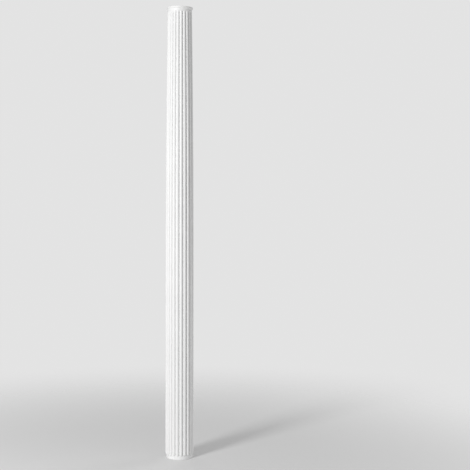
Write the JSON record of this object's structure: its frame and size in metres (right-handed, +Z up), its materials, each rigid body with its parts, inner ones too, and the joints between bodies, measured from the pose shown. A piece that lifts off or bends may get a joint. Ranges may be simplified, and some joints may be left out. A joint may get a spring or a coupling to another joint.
{
  "type": "column shaft",
  "caption": "Slender reeded column shaft with a gentle taper, a plain band at the foot and a flared band at the head, flat at both ends.",
  "frame": {"origin": "centre of the underside, on the shaft's axis", "axes": "+Z up along the shaft's axis; -Y is the front, where a groove between two reeds faces the viewer; +X is to the right seen from the front"},
  "size_m": [0.151, 0.1494, 2.4],
  "materials": {
    "shaft": "matt white primer on moulded rigid foam"
  },
  "bodies": {
    "root": {"shaft": "shaft"}
  },
  "joints": []
}
